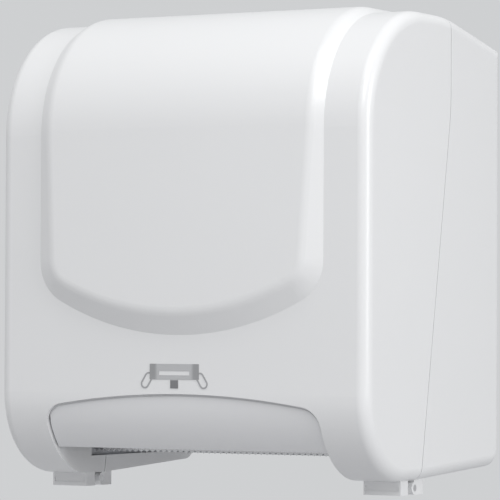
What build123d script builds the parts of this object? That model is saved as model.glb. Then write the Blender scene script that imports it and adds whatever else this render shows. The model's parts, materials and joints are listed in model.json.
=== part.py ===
from build123d import *
from math import acos, atan2, cos, degrees, hypot, pi, radians, sin, sqrt, tan
import os

# A wall-mounted lever dispenser for rolled paper towel. Millimetres and degrees.
# +X is the viewer's right, -Y the front and +Z up. The wall is the plane y = 0, and the origin
# is the centre of the four wall screws.

os.makedirs("parts", exist_ok=True)

# ---------------------------------------------------------------- clearances
running_fit = 0.05
loose_fit = 0.3
seam_gap = 0.8

# ---------------------------------------------------------------- towel roll
towel_width = 203.0
roll_radius = 92.0
core_radius = 20.5
core_wall = 1.5

# ---------------------------------------------------------------- shell, across (X)
cover_wall = 2.6
arm_gap = 2.5
arm_thickness = 3.0
arm_room = 14.0
frame_thickness = 3.0
gear_bay = 30.4
leg_gap = 1.4

arm_x = towel_width / 2 + arm_gap
frame_x = arm_x + arm_thickness + arm_room
frame_outer_x = frame_x + frame_thickness
shell_inner_x = frame_outer_x + gear_bay
shell_half_width = shell_inner_x + cover_wall
leg_x = frame_x - leg_gap - cover_wall

# ---------------------------------------------------------------- shell, front to back (Y)
back_wall = 3.0
roll_back_gap = 17.0
roll_front_gap = 19.4

roll_y = -(back_wall + roll_back_gap + roll_radius)
front_y = roll_y - roll_radius - roll_front_gap - cover_wall

# ---------------------------------------------------------------- shell, up (Z)
works_height = 145.0
roll_top_gap = 15.4

shell_height = works_height + 2 * roll_radius + roll_top_gap + cover_wall
bottom_z = -shell_height / 2
top_z = shell_height / 2
roll_z = bottom_z + works_height + roll_radius

# ---------------------------------------------------------------- shell form
top_front_radius = 90.0
bottom_front_radius = 63.0
rear_top_drop = 18.0
rear_bottom_rise = 7.0
rear_bottom_radius = 15.0
side_edge_radius = 9.0
seam_inset_top = 136.0
seam_inset_bottom = 87.0
seam_bend_depth = 71.0
seam_bend_radius = 150.0
outlet_back_height = 16.0

seam_top_y = front_y + seam_inset_top
seam_bottom_y = front_y + seam_inset_bottom

# ---------------------------------------------------------------- raised panel
panel_margin = 36.0
panel_rise_top = 5.0
panel_rise_bottom = 9.5
panel_bevel_angle = 62.0
panel_foot_height = 106.5
panel_foot_radius = 222.0
panel_corner_radius = 34.0
panel_crest_radius = 14.0

panel_half_width = shell_half_width - panel_margin
panel_reach = panel_rise_bottom + cover_wall
bevel = radians(panel_bevel_angle)
bevel_inset = 1 / cos(bevel) - tan(bevel)

# ---------------------------------------------------------------- cut-out and push bar
cutout_height = 63.0
cutout_arch_radius = 650.0
cutout_corner_radius = 16.0
bar_gap = 1.6
bar_recess = 2.6
bar_wall = 3.0
bar_foot_height = 21.5
bar_flange_gap = 0.6
bar_flange_wall = 2.0
bar_flange_lap = 4.0
bar_lip_depth = 12.0
bar_arm_thickness = 3.0
bar_arm_width = 15.0
bar_arm_inset = 1.0
bar_arm_front_gap = 9.0
bar_boss_radius = 8.0

cutout_z = bottom_z + cutout_height
bar_half_width = leg_x - bar_gap
bar_bottom_z = bottom_z + bar_foot_height
bar_arc_y = front_y + bottom_front_radius
bar_arc_z = bottom_z + bottom_front_radius
bar_radius = bottom_front_radius - bar_recess
bar_foot_y = bar_arc_y - sqrt(bar_radius**2 - (bar_bottom_z - bar_arc_z) ** 2)
bar_arm_front_y = front_y + bar_arm_front_gap
bar_arm_top_z = cutout_z - bar_gap
bar_flange_radius = bottom_front_radius - cover_wall - bar_flange_gap

# ---------------------------------------------------------------- cover hinge
knuckle_gap = 0.6
hinge_setback = 2.0
hinge_pin_radius = 2.5
knuckle_radius = 4.9
cheek_width = 5.0
tongue_width = 20.4
apron_reach = 23.0
apron_depth = 12.0
apron_overhang = 5.0
strap_reach = 13.0
lug_inset = 3.0
apron_recess_depth = 0.8
apron_recess_height = 4.0
apron_border = 1.6

hinge_y = seam_bottom_y + hinge_setback
hinge_z = bottom_z - knuckle_gap - knuckle_radius
lug_x = leg_x + lug_inset
tongue_x = lug_x + cheek_width + loose_fit
cheek_outer_x = tongue_x + tongue_width + loose_fit
lug_outer_x = cheek_outer_x + cheek_width
apron_x = tongue_x - apron_overhang
apron_width = tongue_width + 2 * apron_overhang

# ---------------------------------------------------------------- wall screws
wall_screw_spacing_x = 160.0
wall_screw_spacing_z = 200.0
wall_screw_hole_radius = 3.0
wall_boss_radius = 9.0
wall_boss_height = 2.0

# ---------------------------------------------------------------- lever
lever_inset = 21.0
lever_height = 110.0
shaft_radius = 4.0
bush_radius = 6.5
bush_flange_radius = 8.5
bush_flange = 1.2

lever_y = front_y + lever_inset
lever_z = bottom_z + lever_height

# ---------------------------------------------------------------- rollers
feed_inset = 98.0
feed_height = 70.0
feed_roller_radius = 16.0
tyre_width = 34.0
tyre_count = 4
tyre_pitch = 54.0
pinch_roller_radius = 10.0
pinch_shaft_radius = 3.0
nip_gap = 0.3
knob_radius = 15.0
knob_width = 20.0
knob_flutes = 12
knob_flute_radius = 2.2

feed_y = front_y + feed_inset
feed_z = bottom_z + feed_height
pinch_y = feed_y - feed_roller_radius - nip_gap - pinch_roller_radius
pinch_z = feed_z

# ---------------------------------------------------------------- gears
gear_module = 1.5
gear_width = 6.0
gear_space = 1.2
gear_backlash = 0.5
addendum_share = 0.8
dedendum_share = 1.2
pressure_angle = 20.0
sector_teeth = 60
sector_teeth_cut = 9
sector_teeth_ahead = 2
idler_small_teeth = 14
idler_large_teeth = 34
pinion_teeth = 14
gear_hub_radius = 9.0
stud_radius = 3.0
clip_radius = 5.0
clip_thickness = 0.8
clutch_radius = 6.0
gear_cover_thickness = 2.0
gear_cover_post_radius = 4.0
flank_steps = 4

addendum = addendum_share * gear_module
dedendum = dedendum_share * gear_module
gear_x1 = frame_outer_x + bush_flange + loose_fit + gear_space
gear_x2 = gear_x1 + gear_width + gear_space
gear_x3 = gear_x2 + gear_width + gear_space
gear_cover_x = gear_x3 + clip_thickness + gear_space


def pitch_radius(teeth):
    return gear_module * teeth / 2


# The idler stands where its two gear pairs both mesh: two circles cross there, and the upper
# crossing is used.
lever_to_idler = pitch_radius(sector_teeth + idler_small_teeth)
idler_to_feed = pitch_radius(idler_large_teeth + pinion_teeth)
lever_to_feed = hypot(feed_y - lever_y, feed_z - lever_z)
feed_bearing = atan2(feed_z - lever_z, feed_y - lever_y)
idler_side = lever_to_idler**2 + lever_to_feed**2 - idler_to_feed**2
idler_bearing = feed_bearing + acos(idler_side / (2 * lever_to_idler * lever_to_feed))
idler_y = lever_y + lever_to_idler * cos(idler_bearing)
idler_z = lever_z + lever_to_idler * sin(idler_bearing)
sector_mesh_angle = degrees(idler_bearing)
pinion_mesh_angle = degrees(atan2(feed_z - idler_z, feed_y - idler_y))

post_margin = 14.0
post_idler_reach = 28.0
post_idler_lift = 21.0
post_feed_reach = 18.2
post_lever_reach = 22.4
post_places = [
    (lever_y, lever_z + post_margin),
    (idler_y + post_idler_reach, idler_z + post_idler_lift),
    (feed_y + post_feed_reach, feed_z),
    (lever_y + post_lever_reach, feed_z - post_margin),
]

# ---------------------------------------------------------------- side frames
frame_foot_gap = 1.2
frame_chin_inset = 36.0
frame_eye_margin = 10.0

frame_chin_y = front_y + frame_chin_inset
frame_top_z = lever_z + 2 * frame_eye_margin

# ---------------------------------------------------------------- roll arms and hubs
hub_cone_length = 10.0
hub_cone_tip_radius = 13.0
hub_flange_radius = 26.0
hub_axle_radius = 4.0
hub_head_radius = 6.0
hub_head = 1.8
arm_boss_radius = 15.0
arm_barrel_radius = 4.0
arm_barrel_length = 22.0
ear_width = 12.0
arm_pin_radius = 1.5
arm_barrel_gap = 0.6
arm_spring_room = 6.0
ear_thickness = 3.0
bracket_plate = 2.5
bracket_height = 60.0
bracket_width = 22.0

core_inner_radius = core_radius - core_wall
arm_pin_x = arm_x + arm_thickness / 2
arm_pin_setback = back_wall + bracket_plate + arm_barrel_gap + arm_barrel_radius
arm_pin_y = -arm_pin_setback

# ---------------------------------------------------------------- cross members
blade_thickness = 1.0
blade_height = 13.0
blade_foot_height = 16.5
blade_tooth_pitch = 5.0
blade_tooth_height = 2.2
blade_front_gap = 5.0
holder_depth = 7.0
holder_height = 9.0
holder_edge_radius = 2.3
leg_wall_gap = 2.0
outlet_wall_gap = 3.5
guide_thickness = 1.6
guide_roller_gap = 4.0
chute_gap = 14.0

blade_y = feed_y - feed_roller_radius - blade_front_gap
blade_bottom_z = bottom_z + blade_foot_height
chute_y = blade_y + chute_gap
leg_wall_depth = blade_y - holder_depth - leg_wall_gap - front_y
outlet_wall_height = blade_foot_height - outlet_wall_gap

# ---------------------------------------------------------------- lock
lock_setback = 15.0
lock_radius = 7.0
lock_head_radius = 9.5
lock_head = 1.4
lock_slot_width = 1.6
lock_slot_length = 9.0
lock_slot_depth = 1.0
lock_body_length = 14.0
cam_length = 26.0
cam_width = 9.0
cam_thickness = 2.5
keeper_width = 12.0
keeper_thickness = 2.5
keeper_offset = 18.0
keeper_pad_setback = 3.0
keeper_pad_depth = 10.0
keeper_hook_drop = 7.0
keeper_gap = 1.0

lock_y = seam_top_y - lock_setback
cam_top_z = top_z + panel_rise_top - lock_body_length
keeper_x = keeper_offset
keeper_z = cam_top_z + loose_fit
keeper_hook_y = lock_y - cam_width / 2 - keeper_gap

# ---------------------------------------------------------------- springs, screws and symbol
spring_wire_radius = 0.5
lever_spring_radius = 5.2
lever_spring_room = 9.0
lever_spring_pitch = 1.6
lever_spring_coils = 4
small_spring_radius = 3.0
small_spring_coils = 4
pinch_spring_length = 8.0
pinch_seat_reach = 8.0
gear_cover_screw_length = 8.0
screw_head_radius = 3.8
screw_head = 2.4
screw_radius = 1.9
screw_tip_cover = 0.6
symbol_height_z = 79.5
symbol_shift = -3.0
symbol_towel_width = 42.0
symbol_towel_height = 11.4
symbol_slot_width = 26.0
symbol_slot_height = 3.2
symbol_slot_drop = 1.0
symbol_square = 6.6
symbol_hand_reach = 23.5
symbol_hand_drop = 6.5
symbol_hand_length = 13.0
symbol_hand_width = 7.0
symbol_hand_tilt = 58.0
symbol_line = 1.1
symbol_rise = 0.35

frame_screw_count = 3
frame_screw_pitch = 42.0
flange_width = 14.0
flange_thickness = 2.5
bracket_screw_pitch = 50.0

symbol_z = bottom_z + symbol_height_z
pinch_seat_y = pinch_y - pinch_shaft_radius - pinch_spring_length - 2 * spring_wire_radius - 2 * loose_fit
flange_screw_x = frame_x - flange_width / 2
frame_middle_z = (lever_z + feed_z) / 2
bracket_x = arm_pin_x
flange_screw_places = [
    (side * flange_screw_x, frame_middle_z + step * frame_screw_pitch)
    for side in (-1, 1)
    for step in (-1, 0, 1)
]
bracket_screw_places = [
    (side * bracket_x, roll_z + step * bracket_screw_pitch / 2)
    for side in (-1, 1)
    for step in (-1, 1)
]
screw_places = flange_screw_places + bracket_screw_places


# ================================================================ shell solids
def shell_solid(inset):
    """The whole outer form, cover and housing together, drawn in by inset."""
    with BuildPart() as form:
        with BuildSketch(Plane.YZ):
            with BuildLine():
                FilletPolyline(
                    (0, top_z - rear_top_drop),
                    (seam_top_y, top_z),
                    (front_y, top_z),
                    (front_y, bottom_z),
                    (seam_bottom_y, bottom_z),
                    (0, bottom_z + rear_bottom_rise),
                    radius=[
                        0,
                        seam_bend_radius,
                        top_front_radius,
                        bottom_front_radius,
                        seam_bend_radius,
                        rear_bottom_radius,
                    ],
                    close=True,
                )
            make_face()
            if inset:
                offset(amount=-inset, kind=Kind.INTERSECTION)
        extrude(amount=shell_half_width - inset, both=True)
        side_faces = form.faces().filter_by(Axis.X)
        rim = side_faces.edges().filter_by(lambda edge: edge.center().Y < -inset - seam_gap)
        fillet(rim, side_edge_radius - inset)
    return form.part


def seam_side(towards_front):
    """All the space on one side of the seam, half the seam's gap away from it."""
    shift = -seam_gap / 2 if towards_front else seam_gap / 2
    far_y = front_y - shell_height if towards_front else shell_height
    slope = (seam_top_y - seam_bottom_y) / (shell_height - seam_bend_depth)
    with BuildPart() as space:
        with BuildSketch(Plane.YZ):
            with BuildLine():
                seam = FilletPolyline(
                    (seam_top_y + shift, top_z + shell_height),
                    (seam_top_y + shift, top_z - seam_bend_depth),
                    (seam_bottom_y + shift - slope * shell_height, bottom_z - shell_height),
                    radius=[seam_bend_radius],
                )
                Polyline(
                    seam @ 0,
                    (far_y, top_z + shell_height),
                    (far_y, bottom_z - shell_height),
                    seam @ 1,
                )
            make_face()
        extrude(amount=2 * shell_half_width, both=True)
    return space.part


def faces_outwards(face):
    """Whether a face of the panel belongs to its own front, and not to a bevel or an end."""
    normal = face.normal_at(face.center())
    return abs(normal.X) < cos(bevel) / 2 and normal.Z - normal.Y > sin(bevel)


def panel_section(inset):
    """Corners of the panel's bevelled cross-section: places across, and heights over the shell."""
    foot = panel_half_width - inset * bevel_inset
    crest = panel_half_width - inset / cos(bevel) - panel_reach * tan(bevel)
    return [(foot, -inset), (crest, panel_reach), (-crest, panel_reach), (-foot, -inset)]


def panel_solid(inset):
    """The raised panel, from the shell's surface drawn in by inset to the panel's own face."""
    arc_y = front_y + top_front_radius
    arc_z = top_z - top_front_radius
    foot_half_width = panel_half_width - inset * bevel_inset
    foot_z = bottom_z + panel_foot_height + inset * bevel_inset
    foot_radius = panel_foot_radius - inset * bevel_inset
    foot_rise = foot_radius - sqrt(foot_radius**2 - foot_half_width**2)
    rise_slope = (panel_rise_bottom - panel_rise_top) / (arc_z - foot_z)
    face_top_z = top_z + panel_rise_top
    face_low_z = foot_z - panel_reach
    with BuildPart() as panel:
        # the front stretch, a U that narrows outwards
        with BuildSketch(Plane.XZ.offset(-front_y - inset)) as outline:
            with BuildLine():
                Polyline(
                    (foot_half_width, foot_z + foot_rise),
                    (foot_half_width, top_z),
                    (-foot_half_width, top_z),
                    (-foot_half_width, foot_z + foot_rise),
                )
                ThreePointArc(
                    (-foot_half_width, foot_z + foot_rise),
                    (0, foot_z),
                    (foot_half_width, foot_z + foot_rise),
                )
            make_face()
            fillet(outline.vertices().group_by(Axis.Y)[0], panel_corner_radius)
        extrude(amount=panel_reach + inset, taper=panel_bevel_angle)
        split(bisect_by=Plane.XY.offset(arc_z), keep=Keep.BOTTOM)
        # round the top front corner
        with BuildSketch(Plane.XY.offset(arc_z)):
            with BuildLine():
                Polyline([(x, front_y - height) for x, height in panel_section(inset)], close=True)
            make_face()
        revolve(axis=Axis((0, arc_y, arc_z), (-1, 0, 0)), revolution_arc=90)
        # along the top to the seam
        with BuildSketch(Plane.XZ.offset(-arc_y)):
            with BuildLine():
                Polyline([(x, top_z + height) for x, height in panel_section(inset)], close=True)
            make_face()
        extrude(amount=arc_y - seam_top_y + seam_gap / 2)
        # the panel's own face
        with BuildSketch(Plane.YZ):
            with BuildLine():
                FilletPolyline(
                    (seam_top_y, face_top_z),
                    (front_y - panel_rise_top + rise_slope * (face_top_z - arc_z), face_top_z),
                    (front_y - panel_rise_bottom - rise_slope * panel_reach, face_low_z),
                    (seam_top_y, face_low_z),
                    radius=[0, top_front_radius + panel_rise_top, 0, 0],
                    close=True,
                )
            make_face()
            if inset:
                offset(amount=-inset, kind=Kind.INTERSECTION)
        extrude(amount=shell_half_width, both=True, mode=Mode.INTERSECT)
        crest = [
            edge
            for face in panel.faces().filter_by(faces_outwards)
            for edge in face.edges() - face.edges().filter_by(Axis.X)
        ]
        fillet(crest, panel_crest_radius - inset)
    return panel.part


def arch_outline(gap, foot_z):
    """The cut-out's outline in the front view, drawn in by gap and closed at foot_z."""
    half = leg_x - gap
    apex = cutout_z - gap
    radius = cutout_arch_radius - gap
    shoulder = apex - radius + sqrt(radius**2 - half**2)
    with BuildSketch() as outline:
        with BuildLine():
            Polyline((half, shoulder), (half, foot_z), (-half, foot_z), (-half, shoulder))
            ThreePointArc((-half, shoulder), (0, apex), (half, shoulder))
        make_face()
        fillet(outline.vertices().group_by(Axis.Y)[-1], cutout_corner_radius - gap)
    return outline.sketch


def gear_outline(teeth, first_angle, count):
    """A flat spur gear round the local origin, with count teeth cut from first_angle onwards."""
    pitch = pitch_radius(teeth)
    base = pitch * cos(radians(pressure_angle))
    root = pitch - dedendum
    tip = pitch + addendum
    half_at_pitch = (pi * gear_module - gear_backlash) / (4 * pitch)
    roll_at_pitch = tan(radians(pressure_angle)) - radians(pressure_angle)

    def flank(radius, side):
        pressure = acos(min(1, base / radius))
        angle = half_at_pitch + roll_at_pitch - (tan(pressure) - pressure)
        return (radius * cos(angle), side * radius * sin(angle))

    start = max(base, root)
    steps = [start + (tip - start) * step / flank_steps for step in range(flank_steps + 1)]
    with BuildSketch() as tooth:
        with BuildLine():
            upper = Spline([flank(radius, 1) for radius in steps])
            lower = Spline([flank(radius, -1) for radius in steps])
            ThreePointArc(upper @ 1, (tip, 0), lower @ 1)
            foot_x = root - dedendum
            Polyline(upper @ 0, (foot_x, (upper @ 0).Y), (foot_x, (lower @ 0).Y), lower @ 0)
        make_face()
    with BuildSketch() as outline:
        if count == teeth:
            Circle(root)
        else:
            Circle(root)
            wedge = count * 360 / teeth
            with BuildLine():
                reach = Vector(2 * root, 0)
                near_end = reach.rotate(Axis.Z, first_angle - 180 / teeth)
                far_end = reach.rotate(Axis.Z, first_angle - 180 / teeth + wedge)
                Polyline((0, 0), near_end, far_end, close=True)
            make_face(mode=Mode.INTERSECT)
            Circle(gear_hub_radius)
        with PolarLocations(0, count, start_angle=first_angle, angular_range=count * 360 / teeth):
            add(tooth.sketch)
    return outline.sketch


def tube(near_x, far_x, outer, inner, y, z):
    """A round bar or tube along X."""
    with BuildPart() as bar:
        with BuildSketch(Plane.YZ.offset(near_x)):
            with Locations((y, z)):
                Circle(outer)
                if inner:
                    Circle(inner, mode=Mode.SUBTRACT)
        extrude(amount=far_x - near_x)
    return bar.part


def coil(radius, pitch, coils, start, direction):
    """A close helical spring of round wire."""
    with BuildPart() as spring:
        with BuildLine() as path:
            helix = Helix(pitch, pitch * coils, radius, center=start, direction=direction)
        with BuildSketch(Plane(origin=helix @ 0, z_dir=helix % 0)):
            Circle(spring_wire_radius)
        sweep(path=path.wires()[0], is_frenet=True)
    return spring.part


outer_form = shell_solid(0)
inner_form = shell_solid(cover_wall)

# ================================================================ front cover
# the walls along the outlet: high beside the push bar, and low under the blade to the back wall
with BuildPart() as outlet_walls:
    with Locations((leg_x, front_y, bottom_z), (-leg_x - cover_wall, front_y, bottom_z)):
        Box(
            cover_wall,
            leg_wall_depth,
            cutout_height - cutout_corner_radius / 2,
            align=(Align.MIN, Align.MIN, Align.MIN),
        )
        Box(cover_wall, -front_y, outlet_wall_height, align=(Align.MIN, Align.MIN, Align.MIN))
    add(outer_form, mode=Mode.INTERSECT)

with BuildPart() as front_cover:
    add(outer_form)
    add(seam_side(towards_front=True), mode=Mode.INTERSECT)
    add(panel_solid(0))
    # cut-out between the legs
    with BuildSketch(Plane.XZ.offset(-front_y + panel_reach)):
        add(arch_outline(0, bottom_z - cutout_height))
    extrude(amount=front_y - panel_reach, mode=Mode.SUBTRACT)
    # hollow inside
    add(inner_form, mode=Mode.SUBTRACT)
    add(panel_solid(cover_wall), mode=Mode.SUBTRACT)
    add(outlet_walls.part.intersect(seam_side(towards_front=True)))
    # aprons under the legs
    apron_y = hinge_y - apron_reach
    apron_height = bottom_z + cover_wall / 2 - hinge_z + knuckle_radius
    with Locations(
        (apron_x, apron_y, hinge_z - knuckle_radius),
        (-apron_x - apron_width, apron_y, hinge_z - knuckle_radius),
    ):
        Box(apron_width, apron_depth, apron_height, align=(Align.MIN, Align.MIN, Align.MIN))
    # hinge tongues behind them
    with BuildSketch(Plane.YZ.offset(tongue_x)) as tongue:
        with BuildLine():
            Polyline(
                (hinge_y, hinge_z - knuckle_radius),
                (apron_y + apron_depth / 2, hinge_z - knuckle_radius),
                (apron_y + apron_depth / 2, bottom_z + cover_wall / 2),
                (seam_bottom_y - seam_gap / 2, bottom_z + cover_wall / 2),
                (hinge_y, hinge_z),
                close=True,
            )
        make_face()
        with Locations((hinge_y, hinge_z)):
            Circle(knuckle_radius)
            Circle(hinge_pin_radius + running_fit, mode=Mode.SUBTRACT)
    right_tongue = extrude(amount=tongue_width)
    mirror(right_tongue, about=Plane.YZ)
    apron_middle = apron_x + apron_width / 2
    with BuildSketch(Plane.XZ.offset(-apron_y)):
        with Locations((apron_middle, hinge_z), (-apron_middle, hinge_z)):
            Rectangle(apron_width - 2 * apron_border, apron_recess_height)
    extrude(amount=-apron_recess_depth, mode=Mode.SUBTRACT)
    # hole and counterbore for the lock
    with Locations(Plane.XY.offset(top_z + panel_rise_top)):
        with Locations((0, lock_y)):
            CounterBoreHole(
                lock_radius + running_fit, lock_head_radius + running_fit, lock_head, lock_body_length
            )
front_cover.part.label = "front_cover"
export_step(front_cover.part, "parts/front_cover.step")

# ================================================================ rear housing
keeper_pad_z = keeper_z + keeper_thickness
with BuildPart() as housing_cavity:
    add(inner_form)
    split(bisect_by=Plane.XZ.offset(back_wall), keep=Keep.TOP)

with BuildPart() as rear_housing:
    add(outer_form)
    add(seam_side(towards_front=False), mode=Mode.INTERSECT)
    add(housing_cavity.part, mode=Mode.SUBTRACT)
    # open bottom between the feet
    with Locations((0, 0, bottom_z)):
        Box(2 * leg_x, -2 * front_y, 2 * outlet_back_height, mode=Mode.SUBTRACT)
    add(outlet_walls.part.intersect(seam_side(towards_front=False)))
    # wall screws
    with BuildSketch(Plane.XZ.offset(back_wall)):
        with GridLocations(wall_screw_spacing_x, wall_screw_spacing_z, 2, 2):
            Circle(wall_boss_radius)
    extrude(amount=wall_boss_height)
    with BuildSketch(Plane.XZ):
        with GridLocations(wall_screw_spacing_x, wall_screw_spacing_z, 2, 2):
            Circle(wall_screw_hole_radius)
    extrude(amount=back_wall + wall_boss_height, mode=Mode.SUBTRACT)
    # hinge cheeks
    with BuildSketch(Plane.YZ.offset(lug_x), Plane.YZ.offset(cheek_outer_x)):
        with BuildLine():
            Polyline(
                (hinge_y, hinge_z - knuckle_radius),
                (hinge_y + strap_reach, hinge_z - knuckle_radius),
                (hinge_y + strap_reach, bottom_z + cover_wall / 2),
                (seam_bottom_y + seam_gap / 2, bottom_z + cover_wall / 2),
                (hinge_y, hinge_z),
                close=True,
            )
        make_face()
        with Locations((hinge_y, hinge_z)):
            Circle(knuckle_radius)
            Circle(hinge_pin_radius + running_fit, mode=Mode.SUBTRACT)
    right_cheeks = extrude(amount=cheek_width)
    mirror(right_cheeks, about=Plane.YZ)
    # pad under the top for the lock keeper
    with Locations((keeper_x, seam_top_y + keeper_pad_setback, keeper_pad_z)):
        Box(
            keeper_width,
            keeper_pad_depth,
            top_z - cover_wall - keeper_pad_z,
            align=(Align.CENTER, Align.MIN, Align.MIN),
        )
    # blind holes for the screws of the frames and brackets
    with BuildSketch(Plane.XZ.offset(back_wall)):
        with Locations(screw_places):
            Circle(screw_radius + running_fit)
    extrude(amount=screw_tip_cover - back_wall, mode=Mode.SUBTRACT)
rear_housing.part.label = "rear_housing"
export_step(rear_housing.part, "parts/rear_housing.step")

with BuildPart() as cover_hinge_pins:
    with BuildSketch(Plane.YZ.offset(lug_x)):
        with Locations((hinge_y, hinge_z)):
            Circle(hinge_pin_radius)
    right_pin = extrude(amount=lug_outer_x - lug_x)
    mirror(right_pin, about=Plane.YZ)
cover_hinge_pins.part.label = "cover_hinge_pins"
export_step(cover_hinge_pins.part, "parts/cover_hinge_pins.step")

# ================================================================ lock
with BuildPart() as lock_plug:
    with BuildSketch(Plane.XY.offset(top_z + panel_rise_top)):
        with Locations((0, lock_y)):
            Circle(lock_head_radius)
    extrude(amount=-lock_head)
    with BuildSketch(Plane.XY.offset(top_z + panel_rise_top - lock_head)):
        with Locations((0, lock_y)):
            Circle(lock_radius)
    extrude(amount=lock_head - lock_body_length)
    with BuildSketch(Plane.XY.offset(top_z + panel_rise_top)):
        with Locations((0, lock_y)):
            SlotOverall(lock_slot_length, lock_slot_width)
    extrude(amount=-lock_slot_depth, mode=Mode.SUBTRACT)
lock_plug.part.label = "lock_plug"
export_step(lock_plug.part, "parts/lock_plug.step")

with BuildPart() as lock_cam:
    with BuildSketch(Plane.XY.offset(cam_top_z)):
        with Locations((0, lock_y)):
            Circle(lock_radius)
        with Locations((0, lock_y + cam_length / 2 - cam_width / 2)):
            SlotOverall(cam_length, cam_width, rotation=90)
    extrude(amount=-cam_thickness)
lock_cam.part.label = "lock_cam"
export_step(lock_cam.part, "parts/lock_cam.step")

with BuildPart() as lock_keeper:
    with BuildSketch(Plane.YZ.offset(keeper_x - keeper_width / 2)):
        with BuildLine():
            Polyline(
                (seam_top_y + keeper_pad_setback + keeper_pad_depth, keeper_z),
                (seam_top_y + keeper_pad_setback + keeper_pad_depth, keeper_z + keeper_thickness),
                (keeper_hook_y - keeper_thickness, keeper_z + keeper_thickness),
                (keeper_hook_y - keeper_thickness, keeper_z - keeper_hook_drop),
                (keeper_hook_y, keeper_z - keeper_hook_drop),
                (keeper_hook_y, keeper_z),
                close=True,
            )
        make_face()
    extrude(amount=keeper_width)
lock_keeper.part.label = "lock_keeper"
export_step(lock_keeper.part, "parts/lock_keeper.step")

# ================================================================ push bar
with BuildSketch() as arm_limit:
    with Locations((bar_arc_y, bar_arc_z)):
        Circle(bar_radius - bar_wall / 2)
        Rectangle(2 * bar_radius, lever_height, align=(Align.CENTER, Align.MIN))

with BuildPart() as bar_flange:
    with BuildSketch(Plane.YZ):
        with Locations((bar_arc_y, bar_arc_z)):
            Circle(bar_flange_radius)
            Circle(bar_flange_radius - bar_flange_wall, mode=Mode.SUBTRACT)
        with Locations((bar_arc_y, bar_arc_z)):
            Rectangle(bar_radius * 2, bar_radius * 4, align=(Align.MIN, Align.CENTER), mode=Mode.SUBTRACT)
    extrude(amount=bar_half_width, both=True)
    with BuildSketch(Plane.XZ.offset(-front_y)):
        with Locations((0, bar_flange_lap + bar_gap)):
            add(arch_outline(bar_gap, bar_bottom_z))
    extrude(amount=-bottom_front_radius, mode=Mode.INTERSECT)

with BuildPart() as push_bar:
    # the bar's skin and the lip along its foot
    with BuildSketch(Plane.YZ) as bar_section:
        with Locations((bar_arc_y, bar_arc_z)):
            Circle(bar_radius)
            Circle(bar_radius - bar_wall, mode=Mode.SUBTRACT)
        with Locations((bar_foot_y, bar_bottom_z)):
            Rectangle(bar_lip_depth, bar_wall, align=(Align.MIN, Align.MIN))
        with Locations((bar_foot_y + bar_lip_depth, bar_bottom_z)):
            Rectangle(bar_radius * 2, bar_radius * 4, align=(Align.MIN, Align.CENTER), mode=Mode.SUBTRACT)
    extrude(amount=bar_half_width, both=True)
    with BuildSketch(Plane.XZ.offset(-front_y)):
        add(arch_outline(bar_gap, bar_bottom_z))
    extrude(amount=-bottom_front_radius, mode=Mode.INTERSECT)
    # flange behind the cut-out's upper edge
    add(bar_flange.part)
    # side arms up to the lever shaft
    with BuildSketch(Plane.YZ.offset(bar_half_width - bar_arm_inset)) as arm:
        with BuildLine():
            Polyline(
                (lever_y - bar_boss_radius, lever_z),
                (bar_arm_front_y, bar_arm_top_z),
                (bar_arm_front_y, bar_bottom_z + bar_wall),
                (bar_foot_y + bar_arm_width, bar_bottom_z + bar_wall),
                (lever_y + bar_boss_radius, lever_z),
                close=True,
            )
        make_face()
        add(arm_limit.sketch, mode=Mode.INTERSECT)
        with Locations((lever_y, lever_z)):
            Circle(bar_boss_radius)
            Circle(shaft_radius + running_fit, mode=Mode.SUBTRACT)
    right_arm = extrude(amount=-bar_arm_thickness)
    mirror(right_arm, about=Plane.YZ)
push_bar.part.label = "push_bar"
export_step(push_bar.part, "parts/push_bar.step")

# ================================================================ side frames
frame_foot_z = bottom_z + cover_wall + frame_foot_gap
for side, name in ((1, "side_frame_right"), (-1, "side_frame_left")):
    with BuildPart() as side_frame:
        with BuildSketch(Plane.YZ.offset(frame_x)):
            with BuildLine():
                Polyline(
                    (-back_wall, frame_foot_z + rear_bottom_rise + rear_bottom_radius),
                    (-back_wall - rear_bottom_radius, frame_foot_z + rear_bottom_rise),
                    (seam_bottom_y, frame_foot_z),
                    (bar_arc_y, frame_foot_z),
                    (frame_chin_y, bar_bottom_z - frame_foot_gap),
                    (frame_chin_y, cutout_z),
                    (lever_y - frame_eye_margin, lever_z - 2 * frame_eye_margin),
                    (lever_y - frame_eye_margin, lever_z + frame_eye_margin),
                    (lever_y, frame_top_z),
                    (-back_wall, frame_top_z),
                    close=True,
                )
            make_face()
            with Locations((lever_y, lever_z), (feed_y, feed_z)):
                Circle(bush_radius + running_fit, mode=Mode.SUBTRACT)
            with Locations((pinch_y, pinch_z)):
                Circle(pinch_shaft_radius + running_fit, mode=Mode.SUBTRACT)
            if side > 0:
                with Locations((idler_y, idler_z)):
                    Circle(stud_radius, mode=Mode.SUBTRACT)
        extrude(amount=frame_thickness)
        # flange on the back wall
        with BuildSketch(Plane.XZ.offset(back_wall)):
            with Locations((flange_screw_x, frame_middle_z)):
                Rectangle(flange_width, 2 * frame_screw_pitch + flange_width)
            with GridLocations(0, frame_screw_pitch, 1, frame_screw_count):
                with Locations((flange_screw_x, frame_middle_z)):
                    Circle(screw_radius + running_fit, mode=Mode.SUBTRACT)
        extrude(amount=flange_thickness)
        # seat of the pinch spring
        with Locations((frame_x, pinch_seat_y, pinch_z)):
            Box(
                pinch_seat_reach,
                flange_thickness,
                4 * small_spring_radius,
                align=(Align.MAX, Align.MAX, Align.CENTER),
            )
        if side < 0:
            mirror(about=Plane.YZ, mode=Mode.REPLACE)
    side_frame.part.label = name
    export_step(side_frame.part, f"parts/{name}.step")

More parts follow.
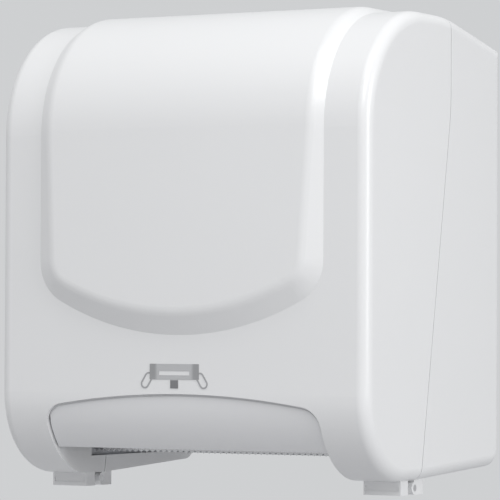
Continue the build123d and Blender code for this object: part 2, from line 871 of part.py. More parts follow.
with BuildPart() as frame_screws:
    with BuildSketch(Plane.XZ.offset(back_wall + flange_thickness)):
        with Locations(screw_places):
            Circle(screw_head_radius)
    extrude(amount=screw_head)
    fillet(frame_screws.faces().sort_by(Axis.Y)[0 : len(screw_places)].edges(), screw_head / 2)
    with BuildSketch(Plane.XZ.offset(back_wall + flange_thickness)):
        with Locations(screw_places):
            Circle(screw_radius)
    extrude(amount=screw_tip_cover - back_wall - flange_thickness)
frame_screws.part.label = "frame_screws"
export_step(frame_screws.part, "parts/frame_screws.step")

# ================================================================ lever shaft and bushes
with BuildPart() as lever_shaft:
    lever_shaft_start_x = -frame_outer_x - bush_flange - lever_spring_room
    add(tube(lever_shaft_start_x, gear_x1 + gear_width, shaft_radius, 0, lever_y, lever_z))
lever_shaft.part.label = "lever_shaft"
export_step(lever_shaft.part, "parts/lever_shaft.step")

for name, y, z in (("lever_bushes", lever_y, lever_z), ("feed_roller_bushes", feed_y, feed_z)):
    with BuildPart() as bushes:
        bore = shaft_radius + running_fit
        add(tube(frame_x, frame_outer_x, bush_radius, bore, y, z))
        add(tube(frame_outer_x, frame_outer_x + bush_flange, bush_flange_radius, bore, y, z))
        mirror(about=Plane.YZ)
    bushes.part.label = name
    export_step(bushes.part, f"parts/{name}.step")

with BuildPart() as lever_return_spring:
    lever_spring_x = -frame_outer_x - bush_flange - spring_wire_radius - loose_fit
    lever_spring_start = (lever_spring_x, lever_y, lever_z)
    add(coil(lever_spring_radius, lever_spring_pitch, lever_spring_coils, lever_spring_start, (-1, 0, 0)))
lever_return_spring.part.label = "lever_return_spring"
export_step(lever_return_spring.part, "parts/lever_return_spring.step")

# ================================================================ gears
sector_pitch_angle = 360 / sector_teeth
with BuildPart() as sector_gear:
    with BuildSketch(Plane.YZ.offset(gear_x1)):
        with Locations((lever_y, lever_z)):
            add(
                gear_outline(
                    sector_teeth,
                    sector_mesh_angle - (sector_teeth_cut - 1 - sector_teeth_ahead) * sector_pitch_angle,
                    sector_teeth_cut,
                )
            )
            Circle(shaft_radius + running_fit, mode=Mode.SUBTRACT)
    extrude(amount=gear_width)
sector_gear.part.label = "sector_gear"
export_step(sector_gear.part, "parts/sector_gear.step")

with BuildPart() as idler_gear:
    with BuildSketch(Plane.YZ.offset(gear_x1)):
        with Locations((idler_y, idler_z)):
            small_first_angle = sector_mesh_angle + 180 + 180 / idler_small_teeth
            add(gear_outline(idler_small_teeth, small_first_angle, idler_small_teeth))
            Circle(stud_radius + running_fit, mode=Mode.SUBTRACT)
    extrude(amount=gear_width)
    with BuildSketch(Plane.YZ.offset(gear_x1 + gear_width)):
        with Locations((idler_y, idler_z)):
            Circle(gear_hub_radius)
            Circle(stud_radius + running_fit, mode=Mode.SUBTRACT)
    extrude(amount=gear_space)
    with BuildSketch(Plane.YZ.offset(gear_x2)):
        with Locations((idler_y, idler_z)):
            add(gear_outline(idler_large_teeth, pinion_mesh_angle, idler_large_teeth))
            Circle(stud_radius + running_fit, mode=Mode.SUBTRACT)
    extrude(amount=gear_width)
idler_gear.part.label = "idler_gear"
export_step(idler_gear.part, "parts/idler_gear.step")

with BuildPart() as idler_stud:
    add(tube(frame_x, gear_x2 + gear_width + gear_space + clip_thickness, stud_radius, 0, idler_y, idler_z))
    add(tube(frame_outer_x, gear_x1 - loose_fit, clip_radius, 0, idler_y, idler_z))
idler_stud.part.label = "idler_stud"
export_step(idler_stud.part, "parts/idler_stud.step")

with BuildPart() as idler_clip:
    clip_x = gear_x2 + gear_width + loose_fit
    add(tube(clip_x, clip_x + clip_thickness, clip_radius, stud_radius + running_fit, idler_y, idler_z))
    with Locations((clip_x, idler_y, idler_z)):
        Box(
            clip_thickness,
            2 * clip_radius,
            stud_radius,
            align=(Align.MIN, Align.MIN, Align.CENTER),
            mode=Mode.SUBTRACT,
        )
idler_clip.part.label = "idler_clip"
export_step(idler_clip.part, "parts/idler_clip.step")

with BuildPart() as drive_pinion:
    with BuildSketch(Plane.YZ.offset(gear_x2)):
        with Locations((feed_y, feed_z)):
            add(gear_outline(pinion_teeth, pinion_mesh_angle + 180 + 180 / pinion_teeth, pinion_teeth))
            Circle(clutch_radius + running_fit, mode=Mode.SUBTRACT)
    extrude(amount=gear_width)
drive_pinion.part.label = "drive_pinion"
export_step(drive_pinion.part, "parts/drive_pinion.step")

with BuildPart() as one_way_clutch:
    clutch_bore = shaft_radius + running_fit
    add(tube(gear_x2, gear_x2 + gear_width, clutch_radius, clutch_bore, feed_y, feed_z))
    add(tube(gear_x2 - gear_space, gear_x2 - loose_fit, gear_hub_radius, clutch_bore, feed_y, feed_z))
    add(tube(gear_x2 - gear_space, gear_x2, clutch_radius, clutch_bore, feed_y, feed_z))
one_way_clutch.part.label = "one_way_clutch"
export_step(one_way_clutch.part, "parts/one_way_clutch.step")

with BuildPart() as gear_cover:
    with BuildSketch(Plane.YZ.offset(gear_cover_x)):
        with Locations(post_places):
            Circle(2 * gear_cover_post_radius)
        make_hull()
        with Locations(post_places):
            Circle(screw_radius + running_fit, mode=Mode.SUBTRACT)
    extrude(amount=gear_cover_thickness)
    with BuildSketch(Plane.YZ.offset(frame_outer_x)):
        with Locations(post_places):
            Circle(gear_cover_post_radius)
            Circle(screw_radius + running_fit, mode=Mode.SUBTRACT)
    extrude(amount=gear_cover_x - frame_outer_x)
gear_cover.part.label = "gear_cover"
export_step(gear_cover.part, "parts/gear_cover.step")

with BuildPart() as gear_cover_screws:
    with BuildSketch(Plane.YZ.offset(gear_cover_x + gear_cover_thickness)):
        with Locations(post_places):
            Circle(screw_head_radius)
    extrude(amount=screw_head)
    fillet(gear_cover_screws.faces().sort_by(Axis.X)[-len(post_places) :].edges(), screw_head / 2)
    with BuildSketch(Plane.YZ.offset(gear_cover_x + gear_cover_thickness)):
        with Locations(post_places):
            Circle(screw_radius)
    extrude(amount=-gear_cover_screw_length)
gear_cover_screws.part.label = "gear_cover_screws"
export_step(gear_cover_screws.part, "parts/gear_cover_screws.step")

# ================================================================ feed roller and pinch roller
knob_x = -frame_outer_x - bush_flange - loose_fit
with BuildPart() as feed_roller_shaft:
    add(tube(knob_x - knob_width, gear_x2 + gear_width + gear_space, shaft_radius, 0, feed_y, feed_z))
feed_roller_shaft.part.label = "feed_roller_shaft"
export_step(feed_roller_shaft.part, "parts/feed_roller_shaft.step")

with BuildPart() as feed_knob:
    with BuildSketch(Plane.YZ.offset(knob_x)):
        with Locations((feed_y, feed_z)):
            Circle(knob_radius)
            with PolarLocations(knob_radius, knob_flutes):
                Circle(knob_flute_radius, mode=Mode.SUBTRACT)
            Circle(shaft_radius + running_fit, mode=Mode.SUBTRACT)
    extrude(amount=-knob_width)
feed_knob.part.label = "feed_knob"
export_step(feed_knob.part, "parts/feed_knob.step")

tyre_places = [(step - (tyre_count - 1) / 2) * tyre_pitch - tyre_width / 2 for step in range(tyre_count)]
with BuildPart() as feed_roller_tyres:
    for place in tyre_places:
        add(tube(place, place + tyre_width, feed_roller_radius, shaft_radius + running_fit, feed_y, feed_z))
feed_roller_tyres.part.label = "feed_roller_tyres"
export_step(feed_roller_tyres.part, "parts/feed_roller_tyres.step")

with BuildPart() as pinch_roller_sleeves:
    sleeve_bore = pinch_shaft_radius + running_fit
    for place in tyre_places:
        add(tube(place, place + tyre_width, pinch_roller_radius, sleeve_bore, pinch_y, pinch_z))
pinch_roller_sleeves.part.label = "pinch_roller_sleeves"
export_step(pinch_roller_sleeves.part, "parts/pinch_roller_sleeves.step")

with BuildPart() as pinch_roller_shaft:
    pinch_shaft_end_x = frame_outer_x + bush_flange
    add(tube(-pinch_shaft_end_x, pinch_shaft_end_x, pinch_shaft_radius, 0, pinch_y, pinch_z))
pinch_roller_shaft.part.label = "pinch_roller_shaft"
export_step(pinch_roller_shaft.part, "parts/pinch_roller_shaft.step")

with BuildPart() as pinch_springs:
    spring_start_y = pinch_y - pinch_shaft_radius - spring_wire_radius - loose_fit
    spring_pitch = pinch_spring_length / small_spring_coils
    for side in (-1, 1):
        start = (side * (frame_x - pinch_seat_reach / 2), spring_start_y, pinch_z)
        add(coil(small_spring_radius, spring_pitch, small_spring_coils, start, (0, -1, 0)))
pinch_springs.part.label = "pinch_springs"
export_step(pinch_springs.part, "parts/pinch_springs.step")

# ================================================================ blade, its holder and the paper guides
blade_half_width = frame_x - loose_fit
blade_teeth = int(2 * blade_half_width / blade_tooth_pitch)
tooth_step = 2 * blade_half_width / blade_teeth
with BuildPart() as tear_blade:
    with BuildSketch(Plane.XZ.offset(-blade_y)):
        with BuildLine():
            teeth = []
            for tooth in range(blade_teeth):
                left = -blade_half_width + tooth * tooth_step
                teeth.append((left, blade_bottom_z + blade_tooth_height))
                teeth.append((left + tooth_step / 2, blade_bottom_z))
            Polyline(
                *teeth,
                (blade_half_width, blade_bottom_z + blade_tooth_height),
                (blade_half_width, blade_bottom_z + blade_height),
                (-blade_half_width, blade_bottom_z + blade_height),
                close=True,
            )
        make_face()
    extrude(amount=-blade_thickness)
tear_blade.part.label = "tear_blade"
export_step(tear_blade.part, "parts/tear_blade.step")

with BuildPart() as blade_holder:
    with BuildSketch(Plane.YZ) as holder_section:
        with Locations((blade_y, blade_bottom_z + blade_height)):
            Rectangle(holder_depth, holder_height, align=(Align.MAX, Align.MAX))
        fillet(holder_section.vertices().group_by(Axis.X)[0], holder_edge_radius)
    extrude(amount=frame_x, both=True)
blade_holder.part.label = "blade_holder"
export_step(blade_holder.part, "parts/blade_holder.step")

with BuildPart() as upper_paper_guide:
    with BuildSketch(Plane.YZ):
        with BuildLine():
            FilletPolyline(
                (-back_wall - roll_back_gap, frame_top_z - guide_thickness),
                (feed_y / 2, frame_top_z - guide_thickness - roll_back_gap / 2),
                (feed_y + feed_roller_radius / 2, feed_z + feed_roller_radius + guide_roller_gap),
                radius=[roll_radius],
            )
            offset(amount=guide_thickness, side=Side.LEFT)
        make_face()
    extrude(amount=frame_x, both=True)
upper_paper_guide.part.label = "upper_paper_guide"
export_step(upper_paper_guide.part, "parts/upper_paper_guide.step")

with BuildPart() as lower_paper_guide:
    with BuildSketch(Plane.YZ):
        with BuildLine():
            FilletPolyline(
                (feed_y + feed_roller_radius / 2, feed_z - feed_roller_radius - guide_roller_gap),
                (chute_y, feed_z - feed_roller_radius - 2 * guide_roller_gap),
                (chute_y, blade_bottom_z),
                radius=[guide_roller_gap],
            )
            offset(amount=guide_thickness, side=Side.LEFT)
        make_face()
    extrude(amount=frame_x, both=True)
lower_paper_guide.part.label = "lower_paper_guide"
export_step(lower_paper_guide.part, "parts/lower_paper_guide.step")

# ================================================================ roll arms, hubs and roll
barrel_half = arm_barrel_length / 2
upper_ear_z = roll_z + barrel_half + arm_spring_room
lower_ear_z = roll_z - barrel_half - loose_fit - ear_thickness
with BuildPart() as roll_brackets:
    with BuildSketch(Plane.XZ.offset(back_wall)):
        with Locations((bracket_x, roll_z)):
            Rectangle(bracket_width, bracket_height)
        with Locations(*[(bracket_x, roll_z + step * bracket_screw_pitch / 2) for step in (-1, 1)]):
            Circle(screw_radius + running_fit, mode=Mode.SUBTRACT)
    extrude(amount=bracket_plate)
    with BuildSketch(Plane.XY.offset(upper_ear_z), Plane.XY.offset(lower_ear_z)):
        with Locations((arm_pin_x, -back_wall)):
            Rectangle(ear_width, arm_pin_setback - back_wall, align=(Align.CENTER, Align.MAX))
        with Locations((arm_pin_x, arm_pin_y)):
            Circle(ear_width / 2)
            Circle(arm_pin_radius + running_fit, mode=Mode.SUBTRACT)
    extrude(amount=ear_thickness)
    mirror(about=Plane.YZ)
roll_brackets.part.label = "roll_brackets"
export_step(roll_brackets.part, "parts/roll_brackets.step")

with BuildPart() as arm_pins:
    with BuildSketch(Plane.XY.offset(lower_ear_z)):
        with Locations((arm_pin_x, arm_pin_y), (-arm_pin_x, arm_pin_y)):
            Circle(arm_pin_radius)
    extrude(amount=upper_ear_z + ear_thickness - lower_ear_z)
arm_pins.part.label = "arm_pins"
export_step(arm_pins.part, "parts/arm_pins.step")

with BuildPart() as arm_springs:
    arm_spring_radius = arm_pin_radius + 2 * spring_wire_radius
    spring_bottom_z = roll_z + barrel_half + spring_wire_radius + loose_fit
    spring_pitch = (arm_spring_room - 2 * spring_wire_radius - 2 * loose_fit) / small_spring_coils
    for side in (-1, 1):
        start = (side * arm_pin_x, arm_pin_y, spring_bottom_z)
        add(coil(arm_spring_radius, spring_pitch, small_spring_coils, start, (0, 0, 1)))
arm_springs.part.label = "arm_springs"
export_step(arm_springs.part, "parts/arm_springs.step")

for side, hand in ((1, "right"), (-1, "left")):
    with BuildPart() as roll_arm:
        with BuildSketch(Plane.YZ.offset(arm_x)):
            with Locations((roll_y, roll_z)):
                Circle(arm_boss_radius)
            with Locations((arm_pin_y - arm_barrel_radius, roll_z)):
                Rectangle(arm_thickness, arm_barrel_length)
            make_hull()
            with Locations((roll_y, roll_z)):
                Circle(hub_axle_radius + running_fit, mode=Mode.SUBTRACT)
        extrude(amount=arm_thickness)
        with BuildSketch(Plane.XY.offset(roll_z - barrel_half)):
            with Locations((arm_pin_x, arm_pin_y)):
                Circle(arm_barrel_radius)
        extrude(amount=arm_barrel_length)
        with BuildSketch(Plane.XY.offset(roll_z - barrel_half)):
            with Locations((arm_pin_x, arm_pin_y)):
                Circle(arm_pin_radius + running_fit)
        extrude(amount=arm_barrel_length, mode=Mode.SUBTRACT)
        if side < 0:
            mirror(about=Plane.YZ, mode=Mode.REPLACE)
    roll_arm.part.label = f"roll_arm_{hand}"
    export_step(roll_arm.part, f"parts/roll_arm_{hand}.step")

    with BuildPart() as roll_hub:
        with BuildSketch(Plane.XY.offset(roll_z)):
            with BuildLine():
                hub_x = towel_width / 2 + loose_fit
                head_x = arm_x + arm_thickness + loose_fit
                Polyline(
                    (hub_x - hub_cone_length, roll_y),
                    (hub_x - hub_cone_length, roll_y + hub_cone_tip_radius),
                    (hub_x, roll_y + core_inner_radius - loose_fit),
                    (hub_x, roll_y + hub_flange_radius),
                    (arm_x - loose_fit, roll_y + hub_flange_radius),
                    (arm_x - loose_fit, roll_y + hub_axle_radius),
                    (head_x, roll_y + hub_axle_radius),
                    (head_x, roll_y + hub_head_radius),
                    (head_x + hub_head, roll_y + hub_head_radius),
                    (head_x + hub_head, roll_y),
                    close=True,
                )
            make_face()
        revolve(axis=Axis((0, roll_y, roll_z), (1, 0, 0)))
        if side < 0:
            mirror(about=Plane.YZ, mode=Mode.REPLACE)
    roll_hub.part.label = f"roll_hub_{hand}"
    export_step(roll_hub.part, f"parts/roll_hub_{hand}.step")

with BuildPart() as roll_core:
    add(tube(-towel_width / 2, towel_width / 2, core_radius, core_inner_radius, roll_y, roll_z))
roll_core.part.label = "roll_core"
export_step(roll_core.part, "parts/roll_core.step")

with BuildPart() as towel_roll:
    add(tube(-towel_width / 2, towel_width / 2, roll_radius, core_radius + running_fit, roll_y, roll_z))
towel_roll.part.label = "towel_roll"
export_step(towel_roll.part, "parts/towel_roll.step")

# ================================================================ symbol over the push bar
with BuildPart() as symbol_towel:
    with BuildSketch(Plane.XZ.offset(-front_y)):
        with Locations((symbol_shift, symbol_z)):
            Rectangle(symbol_towel_width, symbol_towel_height)
        with Locations((symbol_shift, symbol_z - symbol_slot_drop)):
            Rectangle(symbol_slot_width, symbol_slot_height, mode=Mode.SUBTRACT)
        with Locations((symbol_shift, symbol_z - symbol_towel_height / 2 - symbol_square / 2)):
            Rectangle(symbol_square, symbol_square)
    extrude(amount=symbol_rise)
symbol_towel.part.label = "symbol_towel"
export_step(symbol_towel.part, "parts/symbol_towel.step")

with BuildPart() as symbol_hands:
    with BuildSketch(Plane.XZ.offset(-front_y)):
        for side in (-1, 1):
            with Locations((symbol_shift + side * symbol_hand_reach, symbol_z - symbol_hand_drop)):
                SlotOverall(symbol_hand_length, symbol_hand_width, rotation=-side * symbol_hand_tilt)
                SlotOverall(
                    symbol_hand_length - 2 * symbol_line,
                    symbol_hand_width - 2 * symbol_line,
                    rotation=-side * symbol_hand_tilt,
                    mode=Mode.SUBTRACT,
                )
        with Locations((symbol_shift, symbol_z)):
            Rectangle(
                symbol_towel_width + 2 * loose_fit, symbol_towel_height + 2 * loose_fit, mode=Mode.SUBTRACT
            )
    extrude(amount=symbol_rise)
symbol_hands.part.label = "symbol_hands"
export_step(symbol_hands.part, "parts/symbol_hands.step")
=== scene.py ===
import json
from math import cos, radians, sin

import bpy
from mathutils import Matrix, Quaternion, Vector


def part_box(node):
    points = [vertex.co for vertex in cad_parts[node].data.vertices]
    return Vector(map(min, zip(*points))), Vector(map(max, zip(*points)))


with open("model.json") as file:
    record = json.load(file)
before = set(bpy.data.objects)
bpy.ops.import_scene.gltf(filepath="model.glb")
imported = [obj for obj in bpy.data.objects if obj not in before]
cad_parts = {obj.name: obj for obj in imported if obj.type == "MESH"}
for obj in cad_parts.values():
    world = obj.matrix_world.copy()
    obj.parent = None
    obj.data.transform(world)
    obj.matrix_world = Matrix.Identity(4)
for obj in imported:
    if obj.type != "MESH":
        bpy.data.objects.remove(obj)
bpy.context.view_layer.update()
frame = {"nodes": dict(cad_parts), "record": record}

nodes = frame["nodes"]
scene = bpy.context.scene

# ---------------------------------------------------------------- camera
VIEW_AZIMUTH = radians(28.0)  # how far the camera stands round to the right
VIEW_PITCH = radians(-1.426)  # below zero, so the camera stands lower than the origin
VIEW_ROLL = radians(-0.259)
VIEW_DISTANCE = 2.6
LENS = 234.4
ORIGIN_RIGHT = 0.0577  # how far the origin lies right of the picture's middle
ORIGIN_UP = -0.001

# ---------------------------------------------------------------- light and stage
STAGE_SEEN = (0.62, 0.63, 0.64, 1.0)  # backdrop and floor as the camera and gloss see them
AMBIENT_ABOVE = (0.74, 0.745, 0.755, 1.0)
AMBIENT_BELOW = (0.11, 0.11, 0.114, 1.0)
FLOOR_BOUNCE = (0.52, 0.52, 0.53, 1.0)  # the floor's colour for the light that it throws back
FLOOR_ROUGHNESS = 0.8
FLOOR_Z = -0.42
FLOOR_SIZE = 2.6

# name, place, the point it is turned to, width and height, watts
LAMPS = [
    ("lamp_top", (0.15, -0.9, 1.5), (0, -0.15, 0), (1.3, 0.9), 6.5),
    ("lamp_front", (0.8, -2.0, 1.5), (0, -0.2, 0), (1.2, 1.0), 14.2),
    ("lamp_right", (1.9, -0.6, 0.5), (0.1, -0.1, 0), (0.8, 1.2), 13.5),
]

# ---------------------------------------------------------------- surfaces
EVEN = (1.0, 1.0, 1.0)  # how much a texture is squeezed along x, y and z
ALONG_X = (0.05, 1.0, 1.0)
ALONG_Z = (1.0, 1.0, 0.05)
CREPE = (3.0, 1.0, 1.0)
BOARD_TONE = (0.6, 3.0, 3.0)
BOARD_FIBRES = (0.4, 2.0, 2.0)

PLASTIC_IOR = 1.5
PLASTIC_TONE_SCALE = 6.0
PLASTIC_COAT_ROUGHNESS = 0.12
GLOSS_PATCH_SCALE = 14.0
GLOSS_PATCH_RANGE = (0.85, 1.15)  # shares of the roughness
DRAWN_LINE_SCALE = 60.0
DRAWN_LINE_RANGE = (0.8, 1.25)
ZINC_ROUGHNESS = (0.28, 0.46)
RING_SCALE = 260.0
RING_TONES = (0.90, 1.03)  # shares of the paper's colour between and on the layers

SYMBOL_FOOT = 0.0060  # height of the little square under the towel
SYMBOL_GRIP = 0.0055  # how far the hands reach in over the towel's ends
SYMBOL_GRIP_DEPTH = 0.6  # how dark the ends are, as a share of the square
SYMBOL_FOOT_BLUR = 0.0004
SYMBOL_GRIP_BLUR = 3 * SYMBOL_FOOT_BLUR


# ================================================================ node helpers
def new_material(name):
    """An empty node material with its shader: returns material, tree and shader."""
    material = bpy.data.materials.new(name)
    material.use_nodes = True
    tree = material.node_tree
    return material, tree, tree.nodes["Principled BSDF"]


def feed(tree, source, target):
    """Links source to the socket target, or sets the socket where source is a plain value."""
    if isinstance(source, bpy.types.NodeSocket):
        tree.links.new(source, target)
    else:
        target.default_value = source


def calculate(tree, operation, *values):
    """The result of a sum on sockets or numbers."""
    node = tree.nodes.new("ShaderNodeMath")
    node.operation = operation
    for value, target in zip(values, node.inputs):
        feed(tree, value, target)
    return node.outputs["Value"]


def map_range(tree, value, start=(0.0, 1.0), end=(0.0, 1.0)):
    """value mapped from the range start to the range end, and held at its limits."""
    node = tree.nodes.new("ShaderNodeMapRange")
    node.inputs["From Min"].default_value, node.inputs["From Max"].default_value = start
    node.inputs["To Min"].default_value, node.inputs["To Max"].default_value = end
    tree.links.new(value, node.inputs["Value"])
    return node.outputs["Result"]


def blend_colours(tree, value, low, high):
    """The colour low where value is 0, high where it is 1."""
    mix = tree.nodes.new("ShaderNodeMix")
    mix.data_type = "RGBA"
    feed(tree, low, mix.inputs["A"])
    feed(tree, high, mix.inputs["B"])
    tree.links.new(value, mix.inputs["Factor"])
    return mix.outputs["Result"]


def object_place(tree):
    """The place in object space, which stays on the piece as it moves."""
    return tree.nodes.new("ShaderNodeTexCoord").outputs["Object"]


def split_place(tree, place):
    """The x, y and z of a place."""
    parts = tree.nodes.new("ShaderNodeSeparateXYZ")
    tree.links.new(place, parts.inputs["Vector"])
    return parts.outputs


def object_noise(tree, scale, detail=3.0, squeeze=EVEN):
    """Noise laid out in object space."""
    spread = tree.nodes.new("ShaderNodeMapping")
    spread.inputs["Scale"].default_value = squeeze
    noise = tree.nodes.new("ShaderNodeTexNoise")
    noise.inputs["Scale"].default_value = scale
    noise.inputs["Detail"].default_value = detail
    tree.links.new(object_place(tree), spread.inputs["Vector"])
    tree.links.new(spread.outputs["Vector"], noise.inputs["Vector"])
    return noise.outputs["Fac"]


def bump(tree, shader, height, strength, distance):
    """Tilts the surface's normals as if height stood up from it."""
    node = tree.nodes.new("ShaderNodeBump")
    node.inputs["Strength"].default_value = strength
    node.inputs["Distance"].default_value = distance
    tree.links.new(height, node.inputs["Height"])
    tree.links.new(node.outputs["Normal"], shader.inputs["Normal"])


def shade(colour, factor):
    """colour made darker or lighter, with its alpha."""
    return (colour[0] * factor, colour[1] * factor, colour[2] * factor, 1.0)


def tone(tree, shader, colour, swing, scale, detail=3.0, squeeze=EVEN):
    """Slow changes of tone round colour, as real surfaces have."""
    noise = object_noise(tree, scale, detail, squeeze)
    dark, light = shade(colour, 1 - 2 * swing), shade(colour, 1 + 2 * swing)
    tree.links.new(blend_colours(tree, noise, dark, light), shader.inputs["Base Color"])
    return noise


def vary_roughness(tree, shader, value, roughness, shares):
    """Roughness that goes from the first to the second share as value goes from 0 to 1."""
    limits = (roughness * shares[0], roughness * shares[1])
    tree.links.new(map_range(tree, value, end=limits), shader.inputs["Roughness"])


# ================================================================ materials
def moulded_plastic(name, colour, roughness, grain, grain_depth, swing=0.006, coat=0.0):
    """Injection-moulded plastic: an even tone, slight patches of gloss and a fine moulded skin."""
    material, tree, shader = new_material(name)
    tone(tree, shader, colour, swing, PLASTIC_TONE_SCALE)
    patches = object_noise(tree, GLOSS_PATCH_SCALE, 2.0)
    vary_roughness(tree, shader, patches, roughness, GLOSS_PATCH_RANGE)
    skin = object_noise(tree, grain, 1.0)
    bump(tree, shader, skin, strength=0.2, distance=grain_depth)
    shader.inputs["IOR"].default_value = PLASTIC_IOR
    shader.inputs["Coat Weight"].default_value = coat
    shader.inputs["Coat Roughness"].default_value = PLASTIC_COAT_ROUGHNESS
    return material


def printed_symbol(name, colour, dark, foot_top, grip_start, middle):
    """Grey print, darker in its foot and where the hands hold its two ends."""
    material, tree, shader = new_material(name)
    place = split_place(tree, object_place(tree))
    foot_edge = (foot_top + SYMBOL_FOOT_BLUR, foot_top - SYMBOL_FOOT_BLUR)
    foot = map_range(tree, place["Z"], foot_edge)
    outwards = calculate(tree, "ABSOLUTE", calculate(tree, "SUBTRACT", place["X"], middle))
    grip_edge = (grip_start - SYMBOL_GRIP_BLUR, grip_start + SYMBOL_GRIP_BLUR)
    grip = map_range(tree, outwards, grip_edge, (0.0, SYMBOL_GRIP_DEPTH))
    darkness = calculate(tree, "MAXIMUM", foot, grip)
    tree.links.new(blend_colours(tree, darkness, colour, dark), shader.inputs["Base Color"])
    shader.inputs["Roughness"].default_value = 0.5
    return material


def drawn_metal(name, colour, roughness, along, swing=0.05):
    """Steel with drawing or grinding lines that run along one axis."""
    material, tree, shader = new_material(name)
    shader.inputs["Metallic"].default_value = 1.0
    lines = tone(tree, shader, colour, swing, DRAWN_LINE_SCALE, 5.0, along)
    vary_roughness(tree, shader, lines, roughness, DRAWN_LINE_RANGE)
    bump(tree, shader, lines, strength=0.25, distance=0.00008)
    return material


def zinc_plate(name, colour):
    """Zinc plate, with its mottled bright and dull spots."""
    material, tree, shader = new_material(name)
    shader.inputs["Metallic"].default_value = 1.0
    spots = tone(tree, shader, colour, swing=0.10, scale=240.0, detail=4.0)
    tree.links.new(map_range(tree, spots, end=ZINC_ROUGHNESS), shader.inputs["Roughness"])
    bump(tree, shader, object_noise(tree, 900.0, 3.0), strength=0.2, distance=0.00005)
    return material


def soft_rubber(name, colour):
    """Ground rubber: dull, with a fine tooth."""
    material, tree, shader = new_material(name)
    tone(tree, shader, colour, swing=0.16, scale=120.0, detail=4.0)
    shader.inputs["Roughness"].default_value = 0.78
    bump(tree, shader, object_noise(tree, 1500.0, 4.0), strength=0.6, distance=0.00015)
    return material


def rolled_paper(name, colour, axis_y, axis_z):
    """A wound roll: rings on its ends, a soft crepe on its round face."""
    material, tree, shader = new_material(name)
    centre = tree.nodes.new("ShaderNodeMapping")
    centre.inputs["Location"].default_value = (0.0, -axis_y, -axis_z)
    tree.links.new(object_place(tree), centre.inputs["Vector"])
    rings = tree.nodes.new("ShaderNodeTexWave")
    rings.wave_type = "RINGS"
    rings.rings_direction = "X"
    rings.inputs["Scale"].default_value = RING_SCALE
    rings.inputs["Distortion"].default_value = 1.6
    rings.inputs["Detail"].default_value = 3.0
    rings.inputs["Detail Scale"].default_value = 2.0
    tree.links.new(centre.outputs["Vector"], rings.inputs["Vector"])
    layers = rings.outputs["Fac"]
    between, on = (shade(colour, share) for share in RING_TONES)
    tree.links.new(blend_colours(tree, layers, between, on), shader.inputs["Base Color"])
    shader.inputs["Roughness"].default_value = 0.92
    shader.inputs["Sheen Weight"].default_value = 0.15
    relief = calculate(tree, "ADD", layers, object_noise(tree, 420.0, 4.0, CREPE))
    bump(tree, shader, relief, strength=0.5, distance=0.0003)
    return material


def grey_board(name, colour):
    """Spiral-wound grey-brown board with its fibres."""
    material, tree, shader = new_material(name)
    tone(tree, shader, colour, swing=0.14, scale=90.0, detail=6.0, squeeze=BOARD_TONE)
    shader.inputs["Roughness"].default_value = 0.88
    fibres = object_noise(tree, 700.0, 5.0, BOARD_FIBRES)
    bump(tree, shader, fibres, strength=0.5, distance=0.0002)
    return material


core_low, core_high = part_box("roll_core")
roll_axis = (core_low + core_high) / 2
symbol_low, symbol_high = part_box("symbol_towel")

# maker, colour and the rest of each slot's surface
SURFACES = {
    "cover_plastic": (
        moulded_plastic,
        dict(colour=(0.80, 0.805, 0.81), roughness=0.34, grain=2600.0, grain_depth=0.00002, coat=0.3),
    ),
    "bar_plastic": (
        moulded_plastic,
        dict(colour=(0.77, 0.775, 0.785), roughness=0.36, grain=2600.0, grain_depth=0.00002, coat=0.2),
    ),
    "housing_plastic": (
        moulded_plastic,
        dict(colour=(0.79, 0.795, 0.80), roughness=0.35, grain=2600.0, grain_depth=0.00002, coat=0.3),
    ),
    "frame_plastic": (
        moulded_plastic,
        dict(colour=(0.58, 0.59, 0.61), roughness=0.52, grain=1800.0, grain_depth=0.00004, swing=0.02),
    ),
    "acetal": (
        moulded_plastic,
        dict(colour=(0.82, 0.80, 0.75), roughness=0.42, grain=700.0, grain_depth=0.00005, swing=0.02),
    ),
    "dark_plastic": (
        moulded_plastic,
        dict(colour=(0.035, 0.036, 0.04), roughness=0.48, grain=900.0, grain_depth=0.0001, swing=0.1),
    ),
    "symbol_light": (
        moulded_plastic,
        dict(colour=(0.38, 0.385, 0.395), roughness=0.5, grain=900.0, grain_depth=0.00003, swing=0.03),
    ),
    "symbol_grey": (
        printed_symbol,
        dict(
            colour=(0.50, 0.505, 0.515, 1.0),
            dark=(0.21, 0.213, 0.22, 1.0),
            foot_top=symbol_low.z + SYMBOL_FOOT,
            grip_start=(symbol_high.x - symbol_low.x) / 2 - SYMBOL_GRIP,
            middle=(symbol_high.x + symbol_low.x) / 2,
        ),
    ),
    "steel": (drawn_metal, dict(colour=(0.58, 0.58, 0.59), roughness=0.30, along=ALONG_X)),
    "blade_steel": (drawn_metal, dict(colour=(0.66, 0.66, 0.67), roughness=0.24, along=ALONG_Z)),
    "chrome": (
        drawn_metal,
        dict(colour=(0.74, 0.74, 0.75), roughness=0.10, along=ALONG_X, swing=0.02),
    ),
    "zinc": (zinc_plate, dict(colour=(0.60, 0.61, 0.62))),
    "rubber": (soft_rubber, dict(colour=(0.045, 0.045, 0.047))),
    "towel": (
        rolled_paper,
        dict(colour=(0.80, 0.79, 0.76), axis_y=roll_axis.y, axis_z=roll_axis.z),
    ),
    "core": (grey_board, dict(colour=(0.36, 0.27, 0.18))),
}
finishes = {name: maker(name, **surface) for name, (maker, surface) in SURFACES.items()}

for part in frame["record"]["subparts"]:
    piece = nodes[part["node"]]
    if not piece.material_slots:
        piece.data.materials.append(None)
    for slot in piece.material_slots:
        slot.material = finishes[part["material_slot"]]


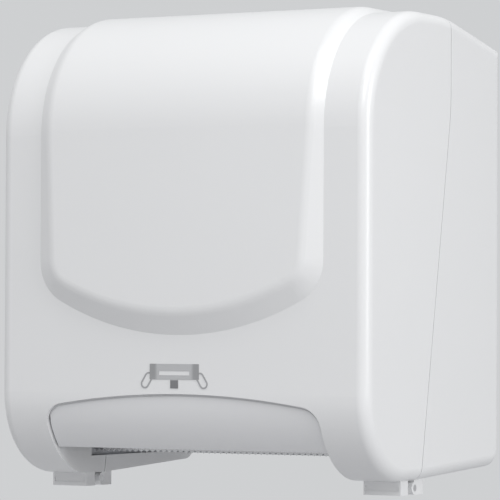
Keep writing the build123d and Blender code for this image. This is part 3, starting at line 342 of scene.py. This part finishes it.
# ================================================================ stage, light and camera
def by_ray(tree, seen, unseen):
    """seen where the camera, gloss or glass looks, unseen for the rest of the light."""
    path = tree.nodes.new("ShaderNodeLightPath").outputs
    looks = calculate(tree, "MAXIMUM", path["Is Camera Ray"], path["Is Glossy Ray"])
    looks = calculate(tree, "MAXIMUM", looks, path["Is Transmission Ray"])
    return blend_colours(tree, looks, unseen, seen)


def light_by_height(tree, below, above):
    """The sky's light: below straight down, above straight up, and even steps between."""
    direction = tree.nodes.new("ShaderNodeTexCoord").outputs["Generated"]
    height = map_range(tree, split_place(tree, direction)["Z"], (-1.0, 1.0))
    return blend_colours(tree, height, below, above)


def soft_lamp(name, place, target, size, power):
    """A rectangular softbox at place, turned to target."""
    data = bpy.data.lights.new(name, "AREA")
    data.shape = "RECTANGLE"
    data.size, data.size_y = size
    data.energy = power
    lamp = bpy.data.objects.new(name, data)
    lamp.location = place
    lamp.rotation_euler = (Vector(target) - Vector(place)).to_track_quat("-Z", "Y").to_euler()
    scene.collection.objects.link(lamp)


world = bpy.data.worlds.new("studio")
world.use_nodes = True
scene.world = world
sky = world.node_tree
ambient = light_by_height(sky, AMBIENT_BELOW, AMBIENT_ABOVE)
sky.links.new(by_ray(sky, STAGE_SEEN, ambient), sky.nodes["Background"].inputs["Color"])

half = FLOOR_SIZE / 2
corners = [(x * half, y * half, FLOOR_Z) for x, y in ((-1, -1), (1, -1), (1, 1), (-1, 1))]
floor_mesh = bpy.data.meshes.new("floor")
floor_mesh.from_pydata(corners, [], [(0, 1, 2, 3)])
floor = bpy.data.objects.new("floor", floor_mesh)
scene.collection.objects.link(floor)
floor_material, floor_tree, floor_shader = new_material("floor_pale")
floor_colour = by_ray(floor_tree, STAGE_SEEN, FLOOR_BOUNCE)
floor_tree.links.new(floor_colour, floor_shader.inputs["Base Color"])
floor_shader.inputs["Roughness"].default_value = FLOOR_ROUGHNESS
floor_mesh.materials.append(floor_material)

for lamp_values in LAMPS:
    soft_lamp(*lamp_values)

level_reach = cos(VIEW_PITCH)
forward = Vector(
    (-sin(VIEW_AZIMUTH) * level_reach, cos(VIEW_AZIMUTH) * level_reach, -sin(VIEW_PITCH))
)
rightward = forward.cross(Vector((0, 0, 1))).normalized()
upward = rightward.cross(forward)
camera_data = bpy.data.cameras.new("camera")
camera_data.lens = LENS
camera = bpy.data.objects.new("camera", camera_data)
camera.location = -forward * VIEW_DISTANCE
aim = -rightward * ORIGIN_RIGHT - upward * ORIGIN_UP
level = (aim - camera.location).to_track_quat("-Z", "Y")
camera.rotation_euler = (level @ Quaternion((0, 0, 1), -VIEW_ROLL)).to_euler()
scene.collection.objects.link(camera)
scene.camera = camera
scene.view_settings.view_transform = "Standard"
